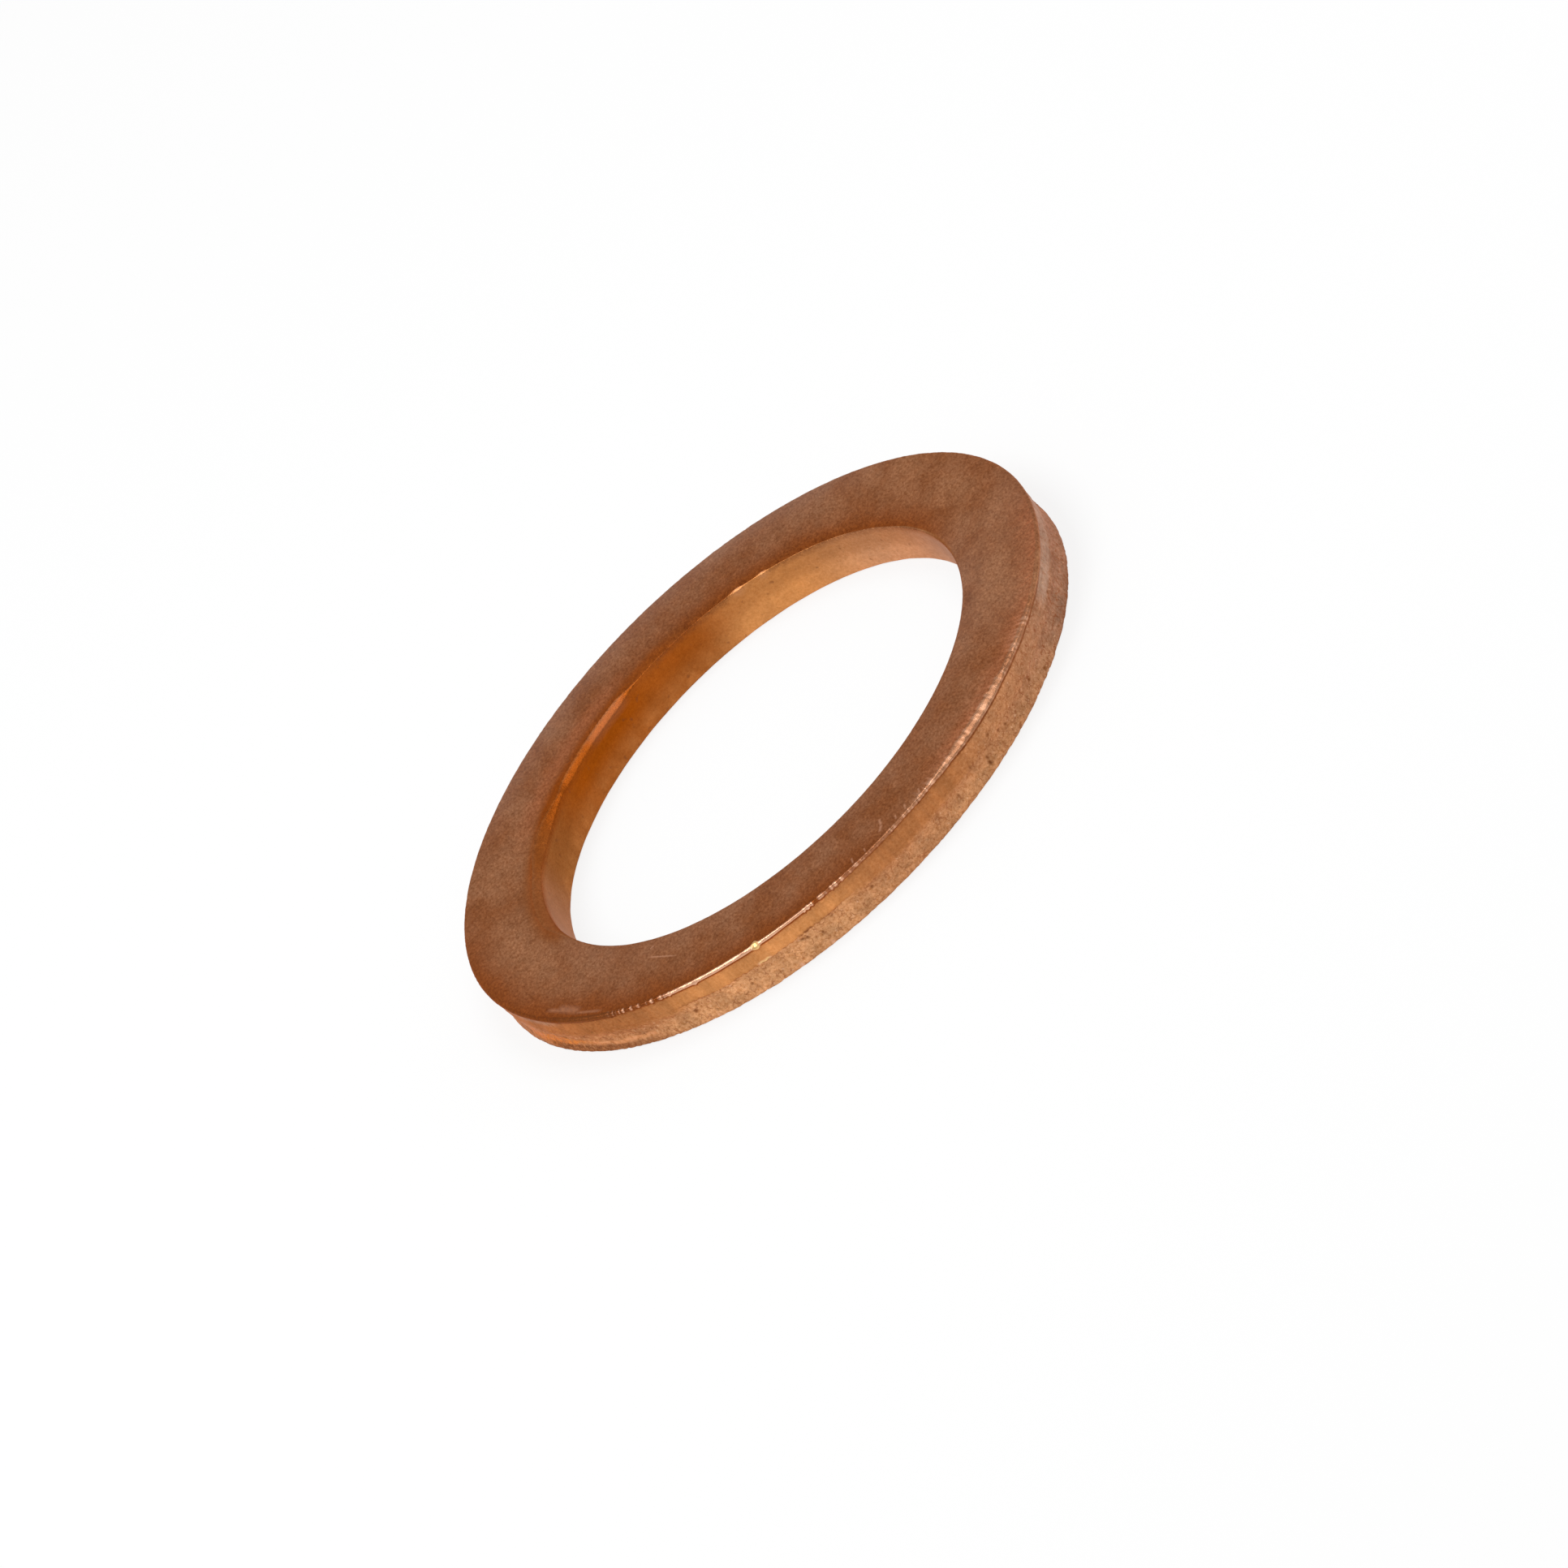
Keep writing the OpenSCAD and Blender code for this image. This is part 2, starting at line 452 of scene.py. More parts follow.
def bore_masks(at):
    """The bore's wall with its worn edge and its tarnish, and the painted reflection on it: deep
    orange where the copper mirrors itself, carried onto the face beside the edge, and paler towards
    the bottom and at 16 to 68 degrees.
    """
    soft = span(136, 178, 14)
    end = rows("bore_upper") * (1 - (1 - 0.6 * soft) * smooth((rise("bore_upper") - 0.55) / 0.45))
    # Painted reflection: the wall's deep orange carried onto the face beside the soft and the worn
    # parts of the bore's edge
    orange_spill = rows("face") * 0.95 * soft * smooth(1.45 - at.from_bore / 0.33)
    orange_spill += rows("face") * 0.75 * span(94, 130, 12) * smooth(1.6 - at.from_bore / 0.30)
    bore = rows("wall", "bore_lower") + end + orange_spill
    lower_half = 1 - smooth((at.height - 0.32) / 0.3)
    # Painted reflection: the wall paler at 16 to 68 degrees, more so on its lower half, and lighter
    # in patches near the bottom
    pale_reflection = span(16, 68, 16) * (0.52 + 0.46 * lower_half)
    pale_reflection += 0.10 * span(160, 178, 10) + 0.07 * span(78, 96, 10)
    pale_reflection += smooth((0.45 - at.height) / 0.3) * (0.10 + 0.15 * at.patch) * span(70, 150, 12)
    # Painted reflection: deep orange at 89 to 122 degrees, most on the upper part of the wall
    deep = bore * span(89, 122, 26) * (1 - 0.35 * lower_half) + orange_spill + 0.6 * end * soft
    return {"bore": bore, "pale_reflection": bore * pale_reflection, "deep": deep}


def painted_shade_mask(at):
    """Painted shade: dark lines under the rim's lip and at the step, darker tops of the land, a
    dark margin beside the rim line, dark gaps between the rim's beads, shade under the burr and at
    the heel, and a darkened bore edge that hides the lamps' highlight.
    """
    step_lines = 0.4 * span(230, 236, 1) + 0.9 * span(254, 258, 1) + 0.4 * span(259, 261, 1)
    land_top = 0.18 * span(180, 282, 10) + 0.30 * span(260, 290, 8) + 0.08 * span(244, 254, 6)
    under_burr = smooth((burr_height() - 0.04 - at.height) / 0.06)
    painted_shade = rows("step") * (0.08 + step_lines * (0.2 + 0.8 * at.patch))
    painted_shade += LAND * smooth((at.height - 0.72) / 0.2) * land_top
    painted_shade += (rise("rim") ** 6 + 0.7 * rows("fillet")) * span(292, 326, 6)
    painted_shade += rows("rim", "fillet") * (span(204, 217, 2) + 0.7 * span(190, 204, 2))
    painted_shade += rows("rim") * (1 - at.beads) * (0.8 * span(218, 229, 1) + 0.35 * span(259, 263, 1))
    painted_shade += rows("rim", "fillet") * bump_at(281.0, 0.12)
    painted_shade += 0.55 * rows("face") * np.exp(-((at.from_rim - 0.06) / 0.08) ** 2) * span(222, 272, 8)
    painted_shade += rows("heel_edge") * (0.2 + 0.5 * span(190, 222, 4) + 0.2 * span(318, 350, 8))
    painted_shade += 0.85 * rows("hollow", "heel") * span(196, 221, 2) * under_burr
    painted_shade += 0.6 * rows("bore_upper") * span(15, 92, 6) * (1 - span(62, 71, 2))
    return painted_shade


def bare_mask(at):
    """Bare metal: a line, beads and ticks on the rim, and rubbed spots on the other edges."""
    rim_line = span(230.5, 250, 2) + 0.8 * span(250, 258, 1)
    ticked = (0.15 + 0.55 * at.ticks) * span(262, 284, 2)
    ticked += (0.20 + 0.32 * at.ticks) * span(286, 302, 5)
    ticked += (0.15 + 0.45 * at.ticks) * span(307, 318, 3)
    bare = rows("rim") * (ticked + bump_at(281.5, 0.1))
    bare += rows("rim") * (rise("rim") < 0.75) * (rim_line + 0.75 * at.beads)
    bare += 0.55 * rows("face") * np.exp(-(at.from_rim / 0.18) ** 2) * at.ticks * span(284, 316, 8)
    chips = bump_at(CHIPS_AT[0], 1.5) + bump_at(CHIPS_AT[1], 1.1)
    bare += rows("bore_upper") * (0.15 * chips + 0.08 * span(106, 114, 4))
    bare += 0.8 * rows("step") * span(245.8, 247.8, 0.5)
    bare += rows("heel_edge") * (bump_at(234.3, 0.2) + bump_at(250.7, 0.3) + bump_at(256.8, 0.3))
    return bare


def burr_masks(at):
    """The burr on the broken side, and its paler part at the right."""
    half = 0.045 + 0.07 * span(180, 196, 6)
    away = (at.height - burr_height() + 0.04 * (at.patch - 0.5)) / half
    ridge = rows("hollow", "heel") * span(190, 221, 2) * np.exp(-away ** 4)
    paler = span(209, 221, 5)
    return ridge * (1 - 0.35 * paler) * (0.3 + 0.8 * at.blotch), ridge * paler


def strip_mask(at):
    """Painted sheen: greyish strips along the top of the land at both ends, and on the bore's wall
    at both ends, where the metal is seen at a grazing angle.
    """
    strip = LAND * smooth((at.height - 0.52) / 0.14) * 0.9 * span(327, 360, 5)
    strip += LAND * smooth((at.height - 0.72) / 0.10) * 0.6 * span(188, 200, 5)
    strip += rows("wall", "bore_lower") * (0.6 * span(-10, 6, 22) + 0.34 * span(168, 192, 22))
    return strip


def face_masks(at):
    """Where the upper face is rubbed or reddened, and its margins by the bore and the rim, darkened
    as painted shade.
    """
    # Painted shade: the margins by the bore at the far side and by the rim at the left are darker
    # and redder, as where the face rolls over and mirrors darker surroundings
    worn = at.near_bore * span(20, 124, 36)
    worn += at.near_rim * (span(176, 258, 26) + 0.25 * span(-8, 10, 12))
    rubbed = 0.5 * span(-30, 35, 20) * (1 - at.near_rim * span(-14, 14, 14))
    rubbed += 0.3 * span(145, 190, 20) * (1 - at.near_rim)
    margin = np.exp(-(at.from_rim / 0.42) ** 2) * span(292, 344, 12)
    margin = margin * (rows("face") + 0.15 * rows("rim") * span(320, 345, 8))
    reddened = margin * (0.5 + 0.5 * at.ticks + 0.2 * span(288, 318, 10))
    ring = np.exp(-((at.from_bore - 0.5) / 0.30) ** 2)
    reddened += 0.6 * rows("face") * ring * span(110, 132, 16)
    return {
        "worn": UPPER * worn,
        "rubbed": UPPER * (1 - at.near_bore) * rubbed,
        "reddened": reddened,
    }


def film_mask(at, painted_shade, strip):
    """A thin film of tarnish that dulls the metal outside the dark lines of painted shade and the
    pits.
    """
    film = 0.08 + 0.46 * at.near_rim * span(58, 118, 30) + 0.12 * at.near_bore * span(200, 340, 20)
    film = UPPER * (film + 0.14 * span(325, 352, 16))
    film += 0.1 * strip + 0.1 * SIDE * span(320, 345, 20)
    return film * (1 - np.clip(painted_shade + at.pits / (0.01 * MM), 0, 1))


def surface_masks(at):
    """All the masks of the ring's colour, by name."""
    bore = bore_masks(at)
    painted_shade = painted_shade_mask(at)
    strip = strip_mask(at)
    burr, pale_burr = burr_masks(at)
    # Painted light on the side: lighter where the left lamp's broad highlight falls, at 236 to 256
    # degrees, and on its lower part, which faces up
    low = 0.2 * span(226, 290, 10) + 0.3 * span(222, 256, 8) + 0.3 * span(288, 314, 8)
    painted_light_and_pale_burr = SIDE * (span(236, 256, 16) + low * smooth((0.36 - at.height) / 0.2))
    dull = SIDE * span(334, 360, 42) + bore["bore"] * (span(-10, 30, 30) + span(160, 178, 10))
    nick = rows("rim") * smooth(1.6 * bump_at(NICK_AT, 0.55)) + rows("step") * span(246, 247.6, 0.3)
    return {
        **bore,
        **face_masks(at),
        "upper": UPPER,
        "side": SIDE,
        "broken": broken_mask(),
        # Painted light, with the burr's paler part added
        "painted_light_and_pale_burr": painted_light_and_pale_burr + 0.7 * pale_burr,
        "dull": dull,
        "bare": bare_mask(at) + 0.4 * pale_burr * at.blotch,
        "film": film_mask(at, painted_shade, strip),
        "painted_shade": painted_shade,
        # The pits, and painted shade on the rim under the face edge at 205 to 217 degrees
        "pit": 0.9 * at.pits / (0.0115 * MM) + 0.5 * rows("rim") * span(205, 217, 1),
        "burr": burr,
        "strip": strip,
        "nick": nick,
    }


# The ring

def ring_quads():
    """Quads between neighbouring rows and columns. Both ways round, the last meets the first."""
    count = len(ROW_NAMES)
    i = np.arange(count)[:, None] * AROUND
    j = np.arange(AROUND)[None, :]
    i_next = (np.arange(count) + 1)[:, None] % count * AROUND
    j_next = (j + 1) % AROUND
    return np.stack([i + j, i + j_next, i_next + j_next, i_next + j], -1).reshape(-1, 4)


def ring_piece():
    """The washer as one closed mesh, with the marks of punching and tumbling on it."""
    rng = np.random.default_rng(SEED)
    beads = sum(span(*place) for place in BEADED) * smooth(1.6 * wave(rng, 110, 480) + 0.15)
    r, z = section_rows(rng, beads)
    step = np.hypot(np.diff(r[:, 0], append=r[0, 0]), np.diff(z[:, 0], append=z[0, 0]))
    along = (np.cumsum(step) - step)[:, None]
    normal_r, normal_z = section_normals(r, z)
    relief, pits = surface_relief(rng, along, z)
    masks = surface_masks(shared_fields(rng, along, r, z, pits, beads))
    r = r - normal_r * relief
    z = np.clip(z - normal_z * relief, 0, THICKNESS)
    points = np.stack([r * np.cos(theta), r * np.sin(theta), z], -1).reshape(-1, 3)

    mesh = bpy.data.meshes.new("copper_ring")
    mesh.from_pydata(points.tolist(), [], ring_quads().tolist())
    mesh.polygons.foreach_set("use_smooth", np.ones(len(mesh.polygons), bool))
    for name, values in masks.items():
        layer = mesh.attributes.new(name, "FLOAT", "POINT")
        full = np.clip(values * np.ones_like(r), 0, 1)
        layer.data.foreach_set("value", full.astype(np.float32).ravel())
    mesh.update()
    piece = bpy.data.objects.new("copper_ring", mesh)
    bpy.context.scene.collection.objects.link(piece)
    return piece, list(masks)


# Shader nodes

def node(tree, kind, inputs=None, **settings):
    """New shader node with its settings and plain or linked inputs."""
    made = tree.nodes.new(kind)
    for name, value in settings.items():
        setattr(made, name, value)
    for name, value in (inputs or {}).items():
        if isinstance(value, bpy.types.NodeSocket):
            tree.links.new(value, made.inputs[name])
        else:
            made.inputs[name].default_value = value
    return made


def new_material(name):
    """Empty node material and its tree and output."""
    material = bpy.data.materials.new(name)
    material.use_nodes = True
    tree = material.node_tree
    tree.nodes.clear()
    return material, tree, tree.nodes.new("ShaderNodeOutputMaterial")


def mix_colour(tree, factor, a, b, blend="MIX"):
    """Colour b over colour a by a factor."""
    inputs = {0: factor, 6: a, 7: b}
    return node(tree, "ShaderNodeMix", inputs, data_type="RGBA", blend_type=blend).outputs[2]


def maths(tree, operation, a, b=0.0):
    """Result of a Math node."""
    return node(tree, "ShaderNodeMath", {0: a, 1: b}, operation=operation).outputs[0]


def times(tree, a, b):
    """Product of two values."""
    return maths(tree, "MULTIPLY", a, b)


def stretch(tree, value, low, high, to_low=0.0, to_high=1.0):
    """Value mapped from one range to another, kept inside it."""
    made = node(tree, "ShaderNodeMapRange", {
        "Value": value, "From Min": low, "From Max": high, "To Min": to_low, "To Max": to_high,
    })
    return made.outputs["Result"]


def noise(tree, place, squeeze, size, detail, roughness, sharp):
    """Noise with features of about this size in millimetres.

    It goes from 0 to 1 over 0.5 plus and minus sharp. Where the place is
    squeezed along an axis, the noise is drawn out along it.
    """
    if squeeze:
        squeezed = node(tree, "ShaderNodeMapping", {"Vector": place, "Scale": squeeze})
        place = squeezed.outputs["Vector"]
    made = node(tree, "ShaderNodeTexNoise", {
        "Vector": place, "Scale": 1 / (size * MM), "Detail": detail, "Roughness": roughness,
    })
    return stretch(tree, made.outputs["Fac"], 0.5 - sharp, 0.5 + sharp)


def swung(tree, factor, colour, value, amount):
    """Colour made darker and lighter by an amount, as the value goes from 0 to 1."""
    gain = stretch(tree, value, 0.0, 1.0, 1 - amount, 1 + amount)
    return mix_colour(tree, factor, colour, mix_colour(tree, 1.0, colour, gain, "MULTIPLY"))


# Copper. Its base colours go from bare metal to deep tarnish, and some of them are painted light,
# shade, sheen and reflection.
BARE = (0.84, 0.460, 0.290, 1)
FACE_WARM = (0.322, 0.110, 0.035, 1)
FACE_GREY = (0.398, 0.172, 0.077, 1)
# Darker, redder margin of the face: painted shade
FACE_MARGIN_SHADE = (0.310, 0.076, 0.011, 1)
FACE_RUBBED = (0.470, 0.205, 0.088, 1)
FACE_RED = (0.515, 0.172, 0.066, 1)
LAND_DULL = (0.462, 0.166, 0.049, 1)
# Lighter land: painted light, also used for the burr's paler part
LAND_LIGHTER = (0.685, 0.286, 0.094, 1)
LAND_GREY = (0.500, 0.232, 0.108, 1)
BROKEN_DULL = (0.540, 0.236, 0.098, 1)
# Lighter broken side: painted light, also used for the burr's paler part
BROKEN_LIGHTER = (0.680, 0.325, 0.138, 1)
BROKEN_GREY = (0.395, 0.193, 0.108, 1)
WALL = (0.340, 0.120, 0.030, 1)
# Deep orange and pale wall colours: painted reflection of the copper and of brighter surroundings
# in the bore
WALL_DEEP_REFLECTION = (0.360, 0.078, 0.004, 1)
WALL_PALE_REFLECTION = (0.705, 0.295, 0.090, 1)
WALL_GREY = (0.710, 0.350, 0.175, 1)
BURR = (0.780, 0.265, 0.062, 1)
# Greyish colour of the painted sheen
GREY_SHEEN = (0.465, 0.285, 0.190, 1)
NICK = (0.900, 0.560, 0.230, 1)
# Light specks of the broken side: painted glints
PAINTED_GLINT = (0.850, 0.500, 0.300, 1)
# Dark red-brown of the painted shade, also of the stains on the face and the wall
SHADE_AND_STAIN = (0.185, 0.054, 0.018, 1)
CRACK = (0.310, 0.095, 0.032, 1)
# Dark brown of the pits, also used for painted shade on the rim
DIRT_AND_SHADE = (0.230, 0.075, 0.022, 1)
# Reflection at a grazing angle, kept near the metal's own colour by the tarnish
GRAZING = (0.90, 0.60, 0.50, 1)
# Tints of the fine grain on the faces, from its dark dots to its light ones
GRAIN_DARK = (0.700, 0.580, 0.450, 1)
GRAIN_LIGHT = (1.300, 1.450, 1.680, 1)
# Roughness from the dark to the light grain, and how much smoother bare metal is
GRAIN_ROUGHNESS = (0.38, 0.5)
BARE_SMOOTHER = 0.15
FILM_ROUGHNESS = 0.35
GRAIN_HEIGHT = 0.004 * MM

# Noise fields: how the place is squeezed, if at all, size in millimetres, detail,
# roughness and sharpness
FIELDS = {
    "cloud": ((1, 0.6, 1), 0.8, 3.0, 0.6, 0.14),
    "mottle": ((1, 0.6, 1), 0.18, 2.0, 0.6, 0.2),
    "grain": ((1, 0.6, 1), 0.055, 3.0, 0.75, 0.2),
    "streak": ((1, 1, 0.12), 0.45, 5.0, 0.75, 0.2),
    "layers": ((0.3, 0.3, 3), 0.25, 2.0, 0.6, 0.2),
    "patches": (None, 0.4, 2.0, 0.5, 0.2),
    "spots": (None, 0.15, 1.0, 0.5, 0.5),
    "speck": (None, 0.06, 2.0, 0.6, 0.25),
    "curls": (None, 0.16, 2.0, 0.5, 0.5),
    "tears": (None, 0.12, 1.0, 0.5, 0.2),
}

# Straight scratches on the upper face: angle in degrees and share of the outer
# radius at each end, and width in millimetres
SCRATCHES = [
    ((221.0, 0.812), (229.6, 0.851), 0.03),
    ((220.6, 0.782), (221.4, 0.770), 0.04),
    ((273.7, 0.969), (274.9, 0.945), 0.05),
    ((267.4, 0.990), (267.7, 0.958), 0.03),
    ((270.0, 0.990), (270.2, 0.968), 0.025),
    ((276.9, 0.988), (277.4, 0.966), 0.03),
    ((279.0, 0.990), (279.7, 0.962), 0.03),
    ((282.4, 0.990), (283.0, 0.965), 0.035),
    ((274.8, 0.948), (275.4, 0.915), 0.045),
]
# Wider and fainter smears, given in the same way
SMEARS = [
    ((202.6, 0.959), (209.8, 0.968), 0.13),
    ((200.0, 0.968), (209.0, 0.969), 0.07),
    ((208.0, 0.974), (215.5, 0.979), 0.05),
]
# Darker stains, given in the same way
STAINS = [((330.5, 0.766), (335.5, 0.766), 0.10)]
# The lines of the upper face with their strength and their colour
FACE_LINES = [(SCRATCHES, 0.55, BARE), (SMEARS, 0.3, BARE), (STAINS, 0.4, SHADE_AND_STAIN)]


def face_point(angle, share):
    """Point of the upper face."""
    return Vector((math.cos(angle / DEG), math.sin(angle / DEG), 0)) * share * OUTER_R


def line_mask(tree, place, start, end, width):
    """1 on a straight thin line of the upper face, fading at its sides and ends."""
    a, b = face_point(*start), face_point(*end)
    turn = math.atan2(b.y - a.y, b.x - a.x)
    size = ((b - a).length, width * MM, 1)
    local = node(tree, "ShaderNodeMapping", {
        "Vector": place, "Location": a, "Rotation": (0, 0, turn), "Scale": size,
    }, vector_type="TEXTURE").outputs["Vector"]
    parts = node(tree, "ShaderNodeSeparateXYZ", {"Vector": local})
    across = maths(tree, "ABSOLUTE", parts.outputs["Y"])
    middle = maths(tree, "ABSOLUTE", maths(tree, "SUBTRACT", parts.outputs["X"], 0.5))
    beside = stretch(tree, across, 0.0, 1.0, 1.0, 0.0)
    inside = stretch(tree, middle, 0.3, 0.5, 1.0, 0.0)
    return times(tree, beside, inside)


def line_masks(tree, place, lines):
    """1 on any of these lines of the upper face."""
    mask = 0.0
    for start, end, width in lines:
        mask = maths(tree, "MAXIMUM", line_mask(tree, place, start, end, width), mask)
    return mask


def plain_colour(tree, mask, field):
    """Colour of the face, the side and the bore by their tarnish and by painted light, shade and
    reflection, without any grain.
    """
    face = mix_colour(tree, field["cloud"], FACE_WARM, FACE_GREY)
    # Painted shade on the face's margins
    face = mix_colour(tree, mask["worn"], face, FACE_MARGIN_SHADE)
    rubbed = times(tree, mask["rubbed"], stretch(tree, field["cloud"], 0.1, 0.9, 0.5, 1.5))
    face = mix_colour(tree, rubbed, face, FACE_RUBBED)
    face = mix_colour(tree, mask["reddened"], face, FACE_RED)

    land = mix_colour(tree, mask["dull"], LAND_DULL, LAND_GREY)
    # Painted light on the land and the broken side
    land = mix_colour(tree, mask["painted_light_and_pale_burr"], land, LAND_LIGHTER)
    broken = mix_colour(tree, mask["dull"], BROKEN_DULL, BROKEN_GREY)
    broken = mix_colour(tree, mask["painted_light_and_pale_burr"], broken, BROKEN_LIGHTER)
    side = mix_colour(tree, mask["broken"], land, broken)

    spots = stretch(tree, field["spots"], 0.68, 0.78)
    # Painted reflection on the bore's wall
    pale_reflection = mix_colour(tree, mask["dull"], WALL_PALE_REFLECTION, WALL_GREY)
    wall = mix_colour(tree, mask["deep"], WALL, WALL_DEEP_REFLECTION)
    wall = mix_colour(tree, mask["pale_reflection"], wall, pale_reflection)
    wall = mix_colour(tree, times(tree, spots, 0.5), wall, SHADE_AND_STAIN)

    colour = mix_colour(tree, mask["side"], face, side)
    colour = mix_colour(tree, mask["bore"], colour, wall)
    # Painted sheen on the grey strips
    return mix_colour(tree, mask["strip"], colour, GREY_SHEEN)


def with_grain(tree, mask, field, colour):
    """Adds the dots of the faces, the clouds of the bore and the streaks of the side."""
    smeared = maths(tree, "SUBTRACT", mask["side"], mask["broken"])
    plain = maths(tree, "MAXIMUM", maths(tree, "MAXIMUM", mask["bore"], smeared), mask["strip"])
    dots = mix_colour(tree, field["grain"], GRAIN_DARK, GRAIN_LIGHT)
    dots = swung(tree, 1.0, dots, field["mottle"], 0.10)
    dotted = stretch(tree, plain, 0.0, 1.0, 1.0, 0.5)
    colour = mix_colour(tree, dotted, colour, dots, "MULTIPLY")
    colour = swung(tree, mask["bore"], colour, field["cloud"], 0.08)
    colour = swung(tree, smeared, colour, field["streak"], 0.24)
    return swung(tree, times(tree, mask["side"], mask["dull"]), colour, field["layers"], 0.14)


def with_tearing(tree, mask, field, colour):
    """Adds the short curved cracks, the patches and the painted glints of the broken side."""
    off_curl = maths(tree, "ABSOLUTE", maths(tree, "SUBTRACT", field["curls"], 0.5))
    thin = stretch(tree, off_curl, 0.0, 0.05, 1.0, 0.0)
    short = times(tree, thin, stretch(tree, field["tears"], 0.45, 0.65))
    cracks = times(tree, mask["broken"], short)
    cracks = times(tree, cracks, stretch(tree, mask["dull"], 0.0, 0.6, 0.65, 1.0))
    # Painted glints: light specks of colour, with no change of roughness
    painted_glints = times(tree, mask["broken"], stretch(tree, field["speck"], 0.78, 1.0))
    colour = mix_colour(tree, cracks, colour, CRACK)
    colour = swung(tree, mask["broken"], colour, field["patches"], 0.14)
    return mix_colour(tree, times(tree, painted_glints, 0.7), colour, PAINTED_GLINT)


def with_marks(tree, mask, field, colour, place):
    """Adds the burr, bare metal, scratches, the dark lines of painted shade, and pits with some
    painted shade on the rim.
    """
    colour = mix_colour(tree, mask["burr"], colour, BURR)
    colour = mix_colour(tree, mask["bare"], colour, BARE)
    colour = mix_colour(tree, mask["nick"], colour, NICK)
    for lines, strength, tint in FACE_LINES:
        shown = times(tree, mask["upper"], line_masks(tree, place, lines))
        colour = mix_colour(tree, times(tree, shown, strength), colour, tint)
    # Painted shade along the edges, broken up by speckle
    painted_shade = times(tree, mask["painted_shade"], stretch(tree, field["speck"], 0.0, 0.6))
    colour = mix_colour(tree, times(tree, painted_shade, 0.9), colour, SHADE_AND_STAIN)
    return mix_colour(tree, mask["pit"], colour, DIRT_AND_SHADE)


def copper_material(mask_names):
    """Tarnished copper, coloured by the masks of the mesh and by noise, with painted light, shade,
    sheen, reflection and glints among its colours.
    """
    material, tree, output = new_material("tumbled_copper")
    place = node(tree, "ShaderNodeTexCoord").outputs["Object"]
    mask = {
        name: node(tree, "ShaderNodeAttribute", attribute_name=name).outputs["Fac"]
        for name in mask_names
    }
    field = {name: noise(tree, place, *values) for name, values in FIELDS.items()}
    colour = plain_colour(tree, mask, field)
    colour = with_grain(tree, mask, field, colour)
    colour = with_tearing(tree, mask, field, colour)
    colour = with_marks(tree, mask, field, colour, place)

    shiny = maths(tree, "MAXIMUM", mask["bare"], mask["burr"])
    rough = stretch(tree, field["grain"], 0.0, 1.0, *GRAIN_ROUGHNESS)
    rough = maths(tree, "SUBTRACT", rough, times(tree, shiny, BARE_SMOOTHER))
    height = maths(tree, "ADD", field["grain"], times(tree, field["speck"], mask["broken"]))
    bump = node(tree, "ShaderNodeBump", {
        "Height": height, "Distance": GRAIN_HEIGHT, "Strength": 1.0,
    })
    normal = bump.outputs["Normal"]
    shader = node(tree, "ShaderNodeBsdfPrincipled", {
        "Base Color": colour, "Metallic": 1.0, "Roughness": rough, "Normal": normal,
        "Specular Tint": GRAZING,
        "Coat Weight": mask["film"], "Coat Roughness": FILM_ROUGHNESS, "Coat Normal": normal,
    })
    tree.links.new(shader.outputs["BSDF"], output.inputs["Surface"])
    return material


# Studio

FLOOR_GLOW = 0.8
FLOOR_WHITE = (0.9, 0.9, 0.9, 1)
FLOOR_HALF = 1.5
FLOOR_DROP = 0.004 * MM


def floor_material():
    """White floor that shows as near white and keeps a soft shadow. From below it is clear."""
    material, tree, output = new_material("studio_floor")
    paths = node(tree, "ShaderNodeLightPath")
    seen = maths(tree, "MAXIMUM", paths.outputs["Is Camera Ray"], paths.outputs["Is Glossy Ray"])
    seen = maths(tree, "MAXIMUM", seen, paths.outputs["Is Transmission Ray"])
    diffuse = node(tree, "ShaderNodeBsdfDiffuse", {"Color": FLOOR_WHITE})
    glow = node(tree, "ShaderNodeEmission", {"Color": (1, 1, 1, 1), "Strength": 1.0})
    glowing = times(tree, seen, FLOOR_GLOW)
    lit = node(tree, "ShaderNodeMixShader", {0: glowing, 1: diffuse.outputs[0], 2: glow.outputs[0]})
    clear = node(tree, "ShaderNodeBsdfTransparent")
    below = node(tree, "ShaderNodeNewGeometry").outputs["Backfacing"]
    whole = node(tree, "ShaderNodeMixShader", {0: below, 1: lit.outputs[0], 2: clear.outputs[0]})
    tree.links.new(whole.outputs[0], output.inputs["Surface"])
    return material


def studio_floor():
    """Square floor just under the washer."""
    mesh = bpy.data.meshes.new("floor")
    h, z = FLOOR_HALF, -FLOOR_DROP
    mesh.from_pydata([(-h, -h, z), (h, -h, z), (h, h, z), (-h, h, z)], [], [(0, 1, 2, 3)])
    floor = bpy.data.objects.new("floor", mesh)
    bpy.context.scene.collection.objects.link(floor)
    mesh.materials.append(floor_material())


LAMP_DISTANCE = 0.15
# Name, direction towards the lamp, side length in metres, power in watts
LAMPS = [
    ("left_softbox", (-0.417, 0.0, 0.909), 0.10, 0.11),
    ("right_softbox", (0.417, 0.0, 0.909), 0.08, 0.055),
]
# The sky is brightest near the horizon and falls off towards the zenith, between
# these two heights on a unit sphere
SKY_LOW, SKY_HIGH = 0.74, 0.44
SKY_FROM, SKY_TO = 0.2, 0.8


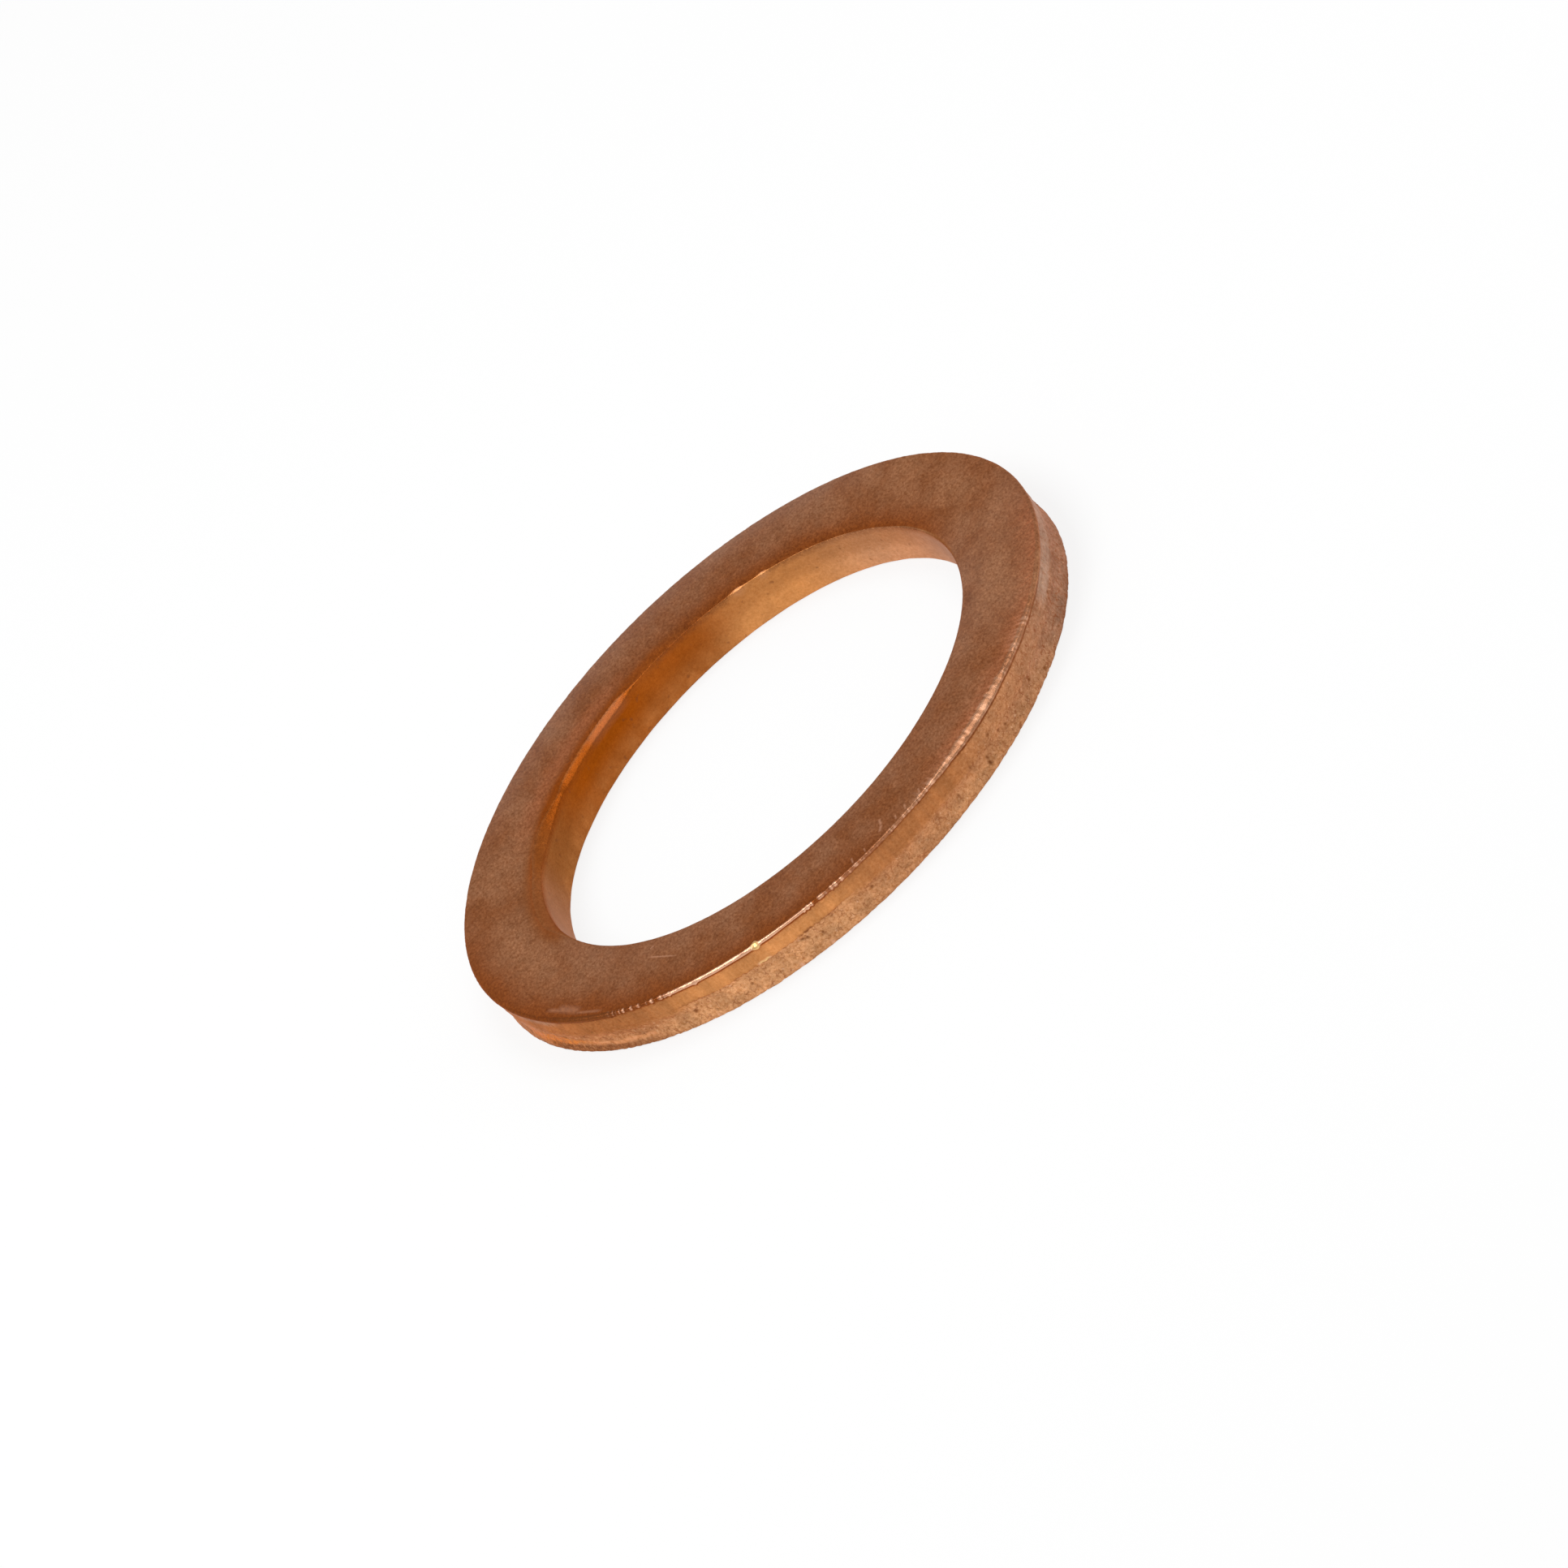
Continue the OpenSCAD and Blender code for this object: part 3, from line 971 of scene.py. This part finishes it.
def studio_sky():
    """White sky with a soft fall-off."""
    world = bpy.data.worlds.new("studio")
    world.use_nodes = True
    tree = world.node_tree
    way = node(tree, "ShaderNodeTexCoord").outputs["Generated"]
    up = node(tree, "ShaderNodeSeparateXYZ", {"Vector": way}).outputs["Z"]
    strength = node(tree, "ShaderNodeMapRange", {
        "Value": up, "From Min": SKY_FROM, "From Max": SKY_TO,
        "To Min": SKY_LOW, "To Max": SKY_HIGH,
    }, interpolation_type="SMOOTHSTEP").outputs["Result"]
    background = tree.nodes["Background"]
    background.inputs["Color"].default_value = (1, 1, 1, 1)
    tree.links.new(strength, background.inputs["Strength"])
    bpy.context.scene.world = world


def studio_lamps():
    """Two square lamps, turned to the washer."""
    for name, towards, side, power in LAMPS:
        lamp = bpy.data.lights.new(name, "AREA")
        lamp.shape = "SQUARE"
        lamp.size = side
        lamp.energy = power
        thing = bpy.data.objects.new(name, lamp)
        way = Vector(towards).normalized()
        thing.location = way * LAMP_DISTANCE
        thing.rotation_euler = way.to_track_quat("Z", "Y").to_euler()
        bpy.context.scene.collection.objects.link(thing)


# Camera of the photograph: its height over the washer's plane, the turn of
# the picture, its distance in outer radii, and the scale and place of the
# washer in a picture of 1932 pixels.
ELEVATION = math.radians(26.68)
ROLL = math.radians(-44.63)
DISTANCE_RADII = 40
PICTURE = 1932
RADIUS_PX = 455.1
CENTRE_PX = (942.2, 924.2)
SENSOR = 36
CLIP = (0.01, 10)


def studio_camera():
    """Camera that sees the washer as the photograph does."""
    data = bpy.data.cameras.new("camera")
    data.sensor_width = SENSOR
    data.lens = SENSOR * RADIUS_PX * DISTANCE_RADII / PICTURE
    data.clip_start, data.clip_end = CLIP
    camera = bpy.data.objects.new("camera", data)
    back = Vector((0, -math.cos(ELEVATION), math.sin(ELEVATION)))
    right = Vector((1, 0, 0))
    up = back.cross(right)
    right_turned = math.cos(ROLL) * right + math.sin(ROLL) * up
    up_turned = -math.sin(ROLL) * right + math.cos(ROLL) * up
    metres_per_px = OUTER_R / RADIUS_PX
    aside = (PICTURE / 2 - CENTRE_PX[0]) * metres_per_px
    below = (PICTURE / 2 - CENTRE_PX[1]) * metres_per_px
    middle = Vector((0, 0, THICKNESS / 2))
    place = middle + back * OUTER_R * DISTANCE_RADII + right_turned * aside - up_turned * below
    turn = Matrix((right_turned, up_turned, back)).transposed()
    camera.matrix_world = Matrix.Translation(place) @ turn.to_4x4()
    bpy.context.scene.collection.objects.link(camera)
    bpy.context.scene.camera = camera


ring, mask_names = ring_piece()
ring.data.materials.append(copper_material(mask_names))
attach(ring, "root")
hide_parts(NODE)

studio_floor()
studio_sky()
studio_lamps()
studio_camera()
bpy.context.scene.view_settings.view_transform = "Standard"
